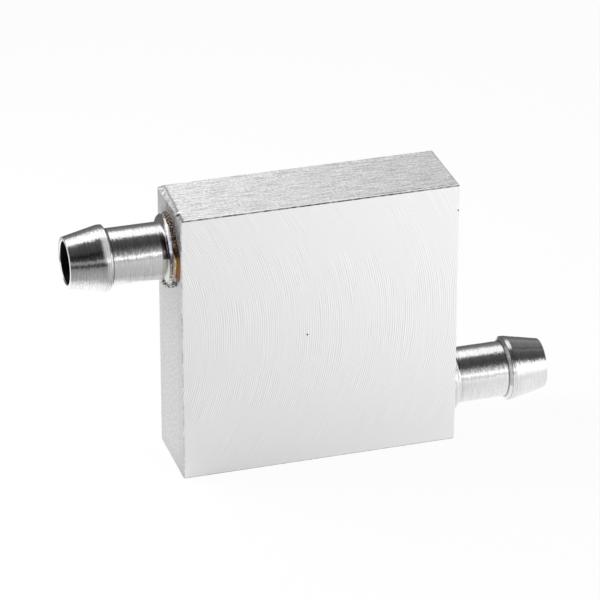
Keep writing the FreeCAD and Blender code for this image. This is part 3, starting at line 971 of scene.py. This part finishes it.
def flux_skin():
    """A closed section carried round part of the flange. The outer curve leans towards the corner
    by the middle point of a Bezier. Both legs shrink to the fillet's at the two ends."""
    angle = np.radians(np.linspace(-FLUX_BELOW, FLUX_ABOVE, 200))[:, None]
    degrees = np.degrees(angle)
    share = np.linspace(0, 1, 25)[None, :]
    to_end = np.minimum(angle + math.radians(FLUX_BELOW), math.radians(FLUX_ABOVE) - angle)
    taper = np.sqrt(np.clip(to_end / math.radians(FLUX_TAPER), 0, 1))
    swell = 0.88 + 0.12 * uneven(angle, 21, (7, 13, 22, 34))
    rise = (FLUX_RISE * swell) * taper + 0.02
    rise = rise * np.interp(degrees, (8, 18), (0.6, 1.0))
    spread = (FLUX_SPREAD * (0.92 + 0.08 * uneven(angle, 22, (6, 11, 19)))) * taper + 0.02
    spread = spread * np.interp(degrees, (14, 34), (1.0, 0.2))
    lean = 0.24 * taper
    outer_out = rise * (1 - share) ** 2 + 2 * lean * share * (1 - share)
    outer_up = spread * share**2 + 2 * lean * share * (1 - share)
    out = np.concatenate([outer_out, 0 * rise], axis=1)
    up = np.concatenate([outer_up, 0 * rise], axis=1)
    grid = carried_round(-1, out, FLANGE + up, angle, INLET_AXIS)
    return surface("inlet_burnt_flux", grid, False, True)


flux = flux_skin()

# %% [markdown]
# The colour of flux is its thickness: amber where it ran thick, nearly black at the head of the
# run, olive brown where it is a film. So the colours follow the unrolled map, from the lower end
# round to the top, and wander a little. The film is specked with burnt and with pale grains.

# %% The finish of burnt flux
BURNT_FLUX = (
    # share of the way from the lower end to the top, and the colour there
    (0.00, (0.020, 0.010, 0.004)),
    (0.04, (0.160, 0.052, 0.004)),
    (0.20, (0.270, 0.100, 0.002)),
    (0.33, (0.160, 0.080, 0.004)),
    (0.37, (0.012, 0.004, 0.002)),
    (0.42, (0.020, 0.006, 0.003)),
    (0.46, (0.130, 0.075, 0.035)),
    (0.54, (0.060, 0.028, 0.012)),
    (0.64, (0.016, 0.009, 0.007)),
    (0.80, (0.040, 0.026, 0.018)),
    (0.90, (0.070, 0.055, 0.012)),
    (1.00, (0.060, 0.050, 0.030)),
)
BURNT_SPECK, PALE_SPECK = (0.008, 0.005, 0.003, 1), (0.50, 0.42, 0.36, 1)


def flux_glass():
    """The run of colours round the flange, with specks, under a faint clear coat."""
    material, tree, shader = recipe("burnt_flux_glass")
    unrolled = add(tree, "ShaderNodeUVMap", {}, uv_map="unrolled").outputs[0]
    around, _across, _none = parts_of(tree, unrolled)
    blotch = grain(tree, in_mm(tree), 2.2, 3.0, 0.6)
    wander = straight(tree, blotch, 0.3, 0.7, -0.035, 0.035)
    colour = colours(tree, plus(tree, around, wander), BURNT_FLUX)
    speck = grain(tree, in_mm(tree), 6.0, 3.0, 0.6)
    burnt = times(tree, ease(tree, speck, 0.50, 0.42), ease(tree, around, 0.38, 0.46, 0.25, 1.0))
    pale = times(tree, ease(tree, speck, 0.56, 0.62), ease(tree, around, 0.42, 0.55, 0.0, 0.8))
    colour = mixed_colour(tree, burnt, colour, BURNT_SPECK)
    colour = mixed_colour(tree, pale, colour, PALE_SPECK)
    give(tree, colour, shader.inputs["Base Color"])
    give(tree, straight(tree, blotch, 0.3, 0.7, 0.10, 0.35), shader.inputs["Roughness"])
    shader.inputs["Specular IOR Level"].default_value = 0.2
    shader.inputs["Coat Weight"].default_value = 0.08
    shader.inputs["Coat Roughness"].default_value = 0.08
    give(tree, raised(tree, blotch, 0.12), shader.inputs["Normal"])
    return material


flux.data.materials.append(flux_glass())
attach(flux, "root")
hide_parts("inlet_flux_residue")
print("flux burnt over", FLUX_ABOVE + FLUX_BELOW, "degrees of the inlet flange")

# %% [markdown]
# ## The block
#
# The block shows four ways of finishing aluminium at once: fly-cut faces, drawn narrow sides,
# ground ends and one filed edge. One material does it all. Masks made from the direction that the
# surface faces choose between the four, and so they meet exactly at the edges.


# %% Which finish is where
def block_masks(tree):
    """1 on the front and back, on the ends, on the narrow sides, on the broken edges beside the
    narrow sides, on what faces up, and on the filed facet, which leans up and to the left."""
    normal = tree.nodes.new("ShaderNodeNewGeometry").outputs["True Normal"]
    face_x, face_y, face_z = parts_of(tree, normal)
    on_front = ease(tree, unsigned(tree, face_y), 0.90, 0.97)
    on_end = ease(tree, unsigned(tree, face_x), 0.90, 0.97)
    on_side = ease(tree, unsigned(tree, face_z), 0.90, 0.97)
    flat = larger(tree, on_front, larger(tree, on_end, on_side))
    on_break = times(tree, minus(tree, 1.0, flat), ease(tree, unsigned(tree, face_z), 0.3, 0.5))
    facing_up = ease(tree, face_z, 0.5, 0.6)
    filed = times(tree, ease(tree, face_x, -0.12, -0.20), facing_up)
    return on_front, on_end, on_side, on_break, facing_up, filed


# %% [markdown]
# A single-point cutter on a wide arm, the fly cutter, swept the front and the back. It left arcs
# of one large radius, each a little further along than the last. So the pattern runs on the
# cutter's place when it passed: a sine with one wave for each feed, disturbed by noise, and finer
# noise for the tears between. The cutter bit deeper in some patches than in others, most of all
# across the middle of the face and near its upper left corner.

# %% Fly-cut arcs
CUTTER_RADIUS = 34.0
CUTTER_HEIGHT = 21.3
CUTTER_FEED = 0.31
DEEP_CORNER = (-14.0, 33.0)


def swept_arcs(tree):
    """The cutter's place when it passed: every point of one arc has the same x - sqrt(R^2 - h^2),
    where h is its height from the arc's middle. Also the direction straight across the arc."""
    x, _y, height = parts_of(tree, in_mm(tree, centre=(0, 0, CUTTER_HEIGHT)))
    run = arithmetic(tree, "SQRT", minus(tree, CUTTER_RADIUS**2, times(tree, height, height)))
    return minus(tree, x, run), height, vector_of(tree, run, 0.0, height)


def deep_patches(tree):
    """Where the cutter bit deeper: across the middle of the face, and round one corner."""
    x, _y, z = parts_of(tree, in_mm(tree))
    corner_x, corner_z = DEEP_CORNER
    from_corner = distance_from(tree, minus(tree, x, corner_x), minus(tree, z, corner_z))
    middle = window(tree, z, 7.0, 12.0, 26.0, 32.0)
    return larger(tree, middle, ease(tree, from_corner, 9.0, 4.0, 0.0, 1.5))


def fly_cut(tree):
    """How high the metal was left, from 0 to 1, and the direction straight across the arcs."""
    cutter_place, height, across_arc = swept_arcs(tree)

    def along_arcs(per_mm_across, per_mm_along, layer, detail, roughness):
        """Noise on the cutter's place and the height, each with its own fineness."""
        across_scaled = times(tree, cutter_place, per_mm_across)
        along_scaled = times(tree, height, per_mm_along)
        place = vector_of(tree, across_scaled, along_scaled, layer)
        return grain(tree, place, detail=detail, roughness=roughness)

    waver = times(tree, along_arcs(0.9, 0.08, 2.0, 2.0, 0.5), 9.0)
    phase = plus(tree, times(tree, cutter_place, 2 * math.pi / CUTTER_FEED), waver)
    feed = straight(tree, arithmetic(tree, "SINE", phase), -1.0, 1.0, 0.1, 0.9)
    tears = along_arcs(5.5, 0.15, 0.0, 1.0, 0.5)
    patches = ease(tree, along_arcs(0.30, 0.16, 5.0, 2.0, 0.6), 0.44, 0.60, 0.22, 1.0)
    depth = times(tree, patches, straight(tree, deep_patches(tree), 0.0, 1.0, 0.45, 1.1))
    ridges = minus(tree, mixed(tree, 0.4, feed, tears), 0.5)
    return plus(tree, 0.5, times(tree, ridges, depth)), across_arc


print(f"about {2 * HALF_WIDTH / CUTTER_FEED:.0f} arcs of {CUTTER_RADIUS} mm radius on each face")

# %% [markdown]
# The narrow sides keep the grain of the extrusion, drawn out along X: long dark streaks, short
# pores and fine bright lines, each a noise with its own stretch. The ends were ground to a satin.


# %% The grain of the narrow sides
# how fine each is along X, Y and Z
LINES, PORES, STREAKS = (2.6, 4.2, 4.2), (0.6, 3.8, 3.8), (0.28, 4.4, 4.4)


def drawn_out(tree, stretch, detail=3.0, roughness=0.6, scale=1.0):
    """Noise on the object's own coordinates, stretched along each axis."""
    return grain(tree, in_mm(tree, stretch=stretch), scale, detail, roughness)


def extruded(tree, x):
    """The tone, and the fine lines by themselves. The tone is painted a little brighter by the
    inlet and darker towards the outlet, as light and shade.
    """
    lines = drawn_out(tree, LINES, 2.0, 0.5)
    pores = ease(tree, drawn_out(tree, PORES, 2.0), 0.42, 0.34)
    streaks = drawn_out(tree, STREAKS, 2.0)
    tone = times(
        tree,
        straight(tree, lines, 0.38, 0.60, 0.70, 1.0),
        straight(tree, pores, 0.0, 1.0, 1.0, 0.78),
        straight(tree, streaks, 0.36, 0.60, 0.68, 1.0),
        # painted light and shade: brighter by the inlet, darker towards the outlet
        straight(tree, x, -HALF_WIDTH, HALF_WIDTH, 1.05, 0.95),
    )
    return tone, lines


for name, stretch in (("lines", LINES), ("pores", PORES), ("streaks", STREAKS)):
    print(f"{name} about {1 / stretch[0]:.1f} mm long and {1 / stretch[1]:.2f} mm wide")

# %% [markdown]
# The edge over the inlet was filed by hand to a facet that is wider at the back. File marks are
# coarse and deep, and where they end on the top, the metal tore along a ragged line.

# %% The filed edge
FACET_FRONT, FACET_BACK = 0.45, 1.0


def filed_edge(tree, x, y, facing_up):
    """The file marks, and 1 on the torn line: how far x lies from the facet's end, roughened by the
    marks, is near 0 there."""
    rasp = drawn_out(tree, (2.0, 3.5, 2.0), 4.0, 0.7, 1.6)
    front_end, back_end = FACET_FRONT - HALF_WIDTH, FACET_BACK - HALF_WIDTH
    facet_end = straight(tree, y, -HALF_DEPTH, HALF_DEPTH, front_end, back_end)
    ragged = plus(tree, minus(tree, x, facet_end), straight(tree, rasp, 0.3, 0.7, -0.35, 0.35))
    return rasp, times(tree, window(tree, ragged, -0.12, -0.04, 0.03, 0.11), facing_up)


print(f"the facet is {FACET_FRONT} mm wide in front and {FACET_BACK} mm at the back")

# %% [markdown]
# The edges carry painted light and shade. The broken edges beside the narrow sides are painted
# dark and patchy, as shade, and so is the far rim of each narrow side. The top's front rim is a
# painted highlight, with a row of dark dashes just behind it towards the outlet. The upright edge
# between the front and the inlet end is darker here and there.


# %% Painted shade and highlight on the edges
def edge_shade_and_highlight(tree, tone, x, y, z, on_side, on_break):
    """The tone, with painted shade on the broken edges and the far rims, a painted highlight on the
    top's front rim, and dark dashes. Distances are from the block's own faces.
    """
    edge_patches = drawn_out(tree, (1.2, 2.5, 2.5))
    from_front, from_back = plus(tree, y, HALF_DEPTH), minus(tree, HALF_DEPTH, y)
    from_outlet_end = minus(tree, HALF_WIDTH, x)
    # painted shade on the broken edges
    tone = mixed(tree, on_break, tone, straight(tree, edge_patches, 0.40, 0.62, 0.06, 0.55))
    at_back, at_outlet = ease(tree, from_back, 0.28, 0.16), ease(tree, from_outlet_end, 0.28, 0.16)
    far_rim = times(tree, larger(tree, at_back, at_outlet), on_side, ease(tree, edge_patches, 0.44, 0.54))
    # painted shade on the far rims
    tone = mixed(tree, far_rim, tone, 0.30)
    on_top = times(tree, on_side, ease(tree, z, HEIGHT - 2.0, HEIGHT - 1.0))
    # painted highlight on the top's front rim
    tone = mixed(tree, times(tree, on_top, ease(tree, from_front, 0.44, 0.32)), tone, 1.0)
    dashes = times(
        tree,
        on_top,
        window(tree, from_front, 0.38, 0.48, 0.58, 0.68),
        ease(tree, x, 2.0, 12.0),
        ease(tree, edge_patches, 0.42, 0.5),
    )
    return mixed(tree, dashes, tone, 0.16)


def darker_upright(tree, tone, x, y):
    """The tone, darker within 0.2 mm of the edge where front and inlet end meet."""
    upright_patches = ease(tree, drawn_out(tree, (0.1, 0.1, 0.6), 2.0), 0.40, 0.60)
    at_inlet = ease(tree, plus(tree, x, HALF_WIDTH), 0.20, 0.14)
    at_front = ease(tree, plus(tree, y, HALF_DEPTH), 0.20, 0.14)
    return mixed(tree, times(tree, at_inlet, at_front, upright_patches, 0.35), tone, 0.22)


# %% [markdown]
# A few marks are single: a pit in the middle of the front, a nick by its right edge, and at the
# filed edge a dark chip with a painted highlight beside it, a white glint that is not metallic.
# Each is a small round spot at its place.

# %% Single marks
DARK_MARKS = (
    # place on the part, and how far across
    ((-2.0, -6.0, 20.1), 0.26),
    ((19.8, -6.0, 36.2), 0.25),
    ((-19.7, -3.7, 39.9), 0.6),
)
# the glint is a painted highlight: white, and not metallic where it lies
GLINT_PLACE, GLINT_ACROSS = (-19.35, -3.1, 39.9), 0.5


def spot(tree, place_mm, across):
    """1 inside a small round mark at a place on the part, 0 outside it."""
    away = add(tree, "ShaderNodeVectorMath", {0: in_mm(tree), 1: place_mm}, operation="DISTANCE")
    return ease(tree, away.outputs["Value"], across * 0.65, across * 0.35)


def marked(tree, tone):
    """The tone with the dark marks and the painted glint, and 1 where the glint is."""
    for place, across in DARK_MARKS:
        tone = mixed(tree, spot(tree, place, across), tone, 0.04)
    glint = spot(tree, GLINT_PLACE, GLINT_ACROSS)
    return mixed(tree, glint, tone, 1.0), glint


print(len(DARK_MARKS), "dark marks and one glint")

# %% [markdown]
# The inlet end is darker from over the flange to the corner, blotched faintly green and violet.
# It lies over block, cap and seam alike, so all three finishes take their colour through it.

# %% The darker inlet corner
MOTTLE_REACH = 8.0
CORNER_MOTTLE = ((0.40, (0.34, 0.42, 0.33)), (0.5, (0.62, 0.60, 0.60)), (0.60, (0.95, 0.80, 0.95)))


def corner_mottled(tree, tone):
    """A grey with the mottle multiplied in, up and forward from the inlet's axis as far as its
    reach."""
    x, y, z = parts_of(tree, in_mm(tree, centre=(0, 0, INLET_AXIS)))
    mottle = drawn_out(tree, (1.0, 0.9, 2.4), 3.0, 0.7)
    away = plus(tree, distance_from(tree, y, z), straight(tree, mottle, 0.3, 0.7, -0.7, 0.7))
    corner_darkening = times(
        tree,
        ease(tree, plus(tree, x, HALF_WIDTH), 0.14, 0.05),
        ease(tree, away, MOTTLE_REACH, MOTTLE_REACH - 1.2),
        ease(tree, y, 2.5, 0.5),
        ease(tree, z, 0.5, 2.5),
    )
    veil = colours(tree, mottle, CORNER_MOTTLE)
    return mixed_colour(tree, corner_darkening, grey(tree, tone), veil, "MULTIPLY")


print("smoke reaches", MOTTLE_REACH, "mm from the inlet's axis")

# %% [markdown]
# The block's finish puts all of this together. The masks pick the tone, the gloss, how metallic it
# looks and the bump. A scratched surface spreads its gloss straight across the scratches: across
# the arcs on the front and back, and along Y everywhere else.


# %% Tone, gloss and bump of the block
BUMP_DEPTH, FILE_DEEPER = 0.012, 9.0


def block_tone(tree, masks, cuts, satin, rasp, torn, side_tone):
    """The four finishes' tones, then the painted shade and highlight on the edges, the torn line,
    the darker upright edge and the single marks with the painted glint."""
    _on_front, on_end, on_side, on_break, _facing_up, filed = masks
    x, y, z = parts_of(tree, in_mm(tree))
    tone = mixed(tree, on_side, straight(tree, cuts, 0.35, 0.65, 0.79, 0.985), side_tone)
    tone = mixed(tree, on_end, tone, straight(tree, satin, 0.35, 0.65, 0.50, 0.80))
    tone = mixed(tree, filed, tone, straight(tree, rasp, 0.40, 0.56, 0.26, 0.84))
    tone = edge_shade_and_highlight(tree, tone, x, y, z, on_side, on_break)
    tone = mixed(tree, torn, tone, 0.10)
    return marked(tree, darker_upright(tree, tone, x, y))


def block_gloss(tree, masks, cuts, lines, satin):
    """How rough each finish is."""
    _on_front, on_end, on_side, _on_break, _facing_up, _filed = masks
    fly_cut_gloss = straight(tree, cuts, 0.3, 0.7, 0.42, 0.54)
    gloss = mixed(tree, on_side, fly_cut_gloss, straight(tree, lines, 0.3, 0.7, 0.38, 0.52))
    return mixed(tree, on_end, gloss, straight(tree, satin, 0.3, 0.7, 0.45, 0.55))


def block_bump(tree, masks, cuts, lines, satin, rasp):
    """The height of each finish's marks. Those of the file are by far the deepest."""
    on_front, on_end, on_side, _on_break, _facing_up, filed = masks
    marks = mixed(tree, on_side, times(tree, cuts, on_front), times(tree, lines, 2.5))
    marks = mixed(tree, on_end, marks, times(tree, satin, 0.7))
    marks = mixed(tree, filed, marks, times(tree, rasp, FILE_DEEPER))
    return raised(tree, marks, BUMP_DEPTH)


print(f"file marks are up to {BUMP_DEPTH * FILE_DEEPER:.2f} mm deep")


# %% The finish of the block
def mixed_vector(tree, share, first, second):
    """The first vector where the share is 0, the second where it is 1."""
    node = add(tree, "ShaderNodeMix", {}, data_type="VECTOR")
    for value, socket in ((share, 0), (first, 4), (second, 5)):
        give(tree, value, node.inputs[socket])
    return node.outputs[1]


def milled_block():
    """Fly-cut front and back, drawn sides, ground ends and a filed edge, in one material."""
    material, tree, shader = recipe("milled_block")
    masks = block_masks(tree)
    on_front, on_end, on_side, _on_break, facing_up, _filed = masks
    x, y, _z = parts_of(tree, in_mm(tree))
    cuts, across_arc = fly_cut(tree)
    side_tone, lines = extruded(tree, x)
    satin = drawn_out(tree, (1.0, 4.5, 3.0), 3.0, 0.7)
    rasp, torn = filed_edge(tree, x, y, facing_up)
    tone, glint = block_tone(tree, masks, cuts, satin, rasp, torn, side_tone)
    bare = mixed(tree, on_end, mixed(tree, on_side, 0.55, 0.50), 0.85)
    spread = mixed_vector(tree, on_front, vector_of(tree, 0.0, 1.0, 0.0), across_arc)
    tangent = add(tree, "ShaderNodeVectorMath", {0: spread}, operation="NORMALIZE").outputs[0]
    give(tree, corner_mottled(tree, tone), shader.inputs["Base Color"])
    give(tree, block_gloss(tree, masks, cuts, lines, satin), shader.inputs["Roughness"])
    # the painted glint is not metallic, so that it shows white
    give(tree, mixed(tree, glint, bare, 0.0), shader.inputs["Metallic"])
    shader.inputs["Anisotropic"].default_value = 0.45
    give(tree, tangent, shader.inputs["Tangent"])
    give(tree, block_bump(tree, masks, cuts, lines, satin, rasp), shader.inputs["Normal"])
    return material


def dress(node, material):
    """The CAD node's own mesh keeps its shape and takes the finish."""
    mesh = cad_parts[node].data
    mesh.materials.clear()
    mesh.materials.append(material)
    print(f"{node} wears {material.name}, {len(material.node_tree.nodes)} nodes")


dress("channel_body", milled_block())

# %% [markdown]
# ## The end caps and their seams
#
# Each cap is a plate let into the end of the block and brazed round its edge, then ground flush
# with the block. Ground together, cap and block look alike. What tells them apart is the seam:
# braze is a little greyer and softer than the plate, and it scratches differently.


# %% Finish the caps and the seams
def ground_metal(name, pattern, darkest, lightest, smoothest, roughest, depth_mm):
    """Bare metal whose tone, gloss and height all follow one noise. The pattern is its stretch,
    scale, detail and roughness."""
    material, tree, shader = recipe(name)
    stretch, scale, detail, roughness = pattern
    mottle = drawn_out(tree, stretch, detail, roughness, scale)
    tone = straight(tree, mottle, 0.35, 0.65, darkest, lightest)
    give(tree, corner_mottled(tree, tone), shader.inputs["Base Color"])
    gloss = straight(tree, mottle, 0.3, 0.7, smoothest, roughest)
    give(tree, gloss, shader.inputs["Roughness"])
    shader.inputs["Metallic"].default_value = 1.0
    give(tree, raised(tree, mottle, depth_mm), shader.inputs["Normal"])
    return material


CAP_PATTERN = ((1.0, 4.5, 2.2), 1.0, 4.0, 0.6)
SEAM_PATTERN = ((1, 1, 1), 2.5, 4.0, 0.6)
cap_finish = ground_metal("ground_cap", CAP_PATTERN, 0.55, 0.84, 0.45, 0.55, 0.008)
seam_finish = ground_metal("ground_seam", SEAM_PATTERN, 0.54, 0.80, 0.42, 0.58, 0.02)
for end in ("inlet", "outlet"):
    dress(f"{end}_end_cap", cap_finish)
    dress(f"{end}_cap_seam", seam_finish)

# %% [markdown]
# ## Sizes of the dressed part
#
# The boxes of the solid model and of the dressed part are both printed, in millimetres.

# %% Print both boxes
dressed_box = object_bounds()
boxes = {
    "cad": [list(corner) for corner in cad_box],
    "dressed": [list(corner) for corner in dressed_box],
}
for name, (low, high) in boxes.items():
    print(name, [round((b - a) / MM, 3) for a, b in zip(low, high)], "mm")
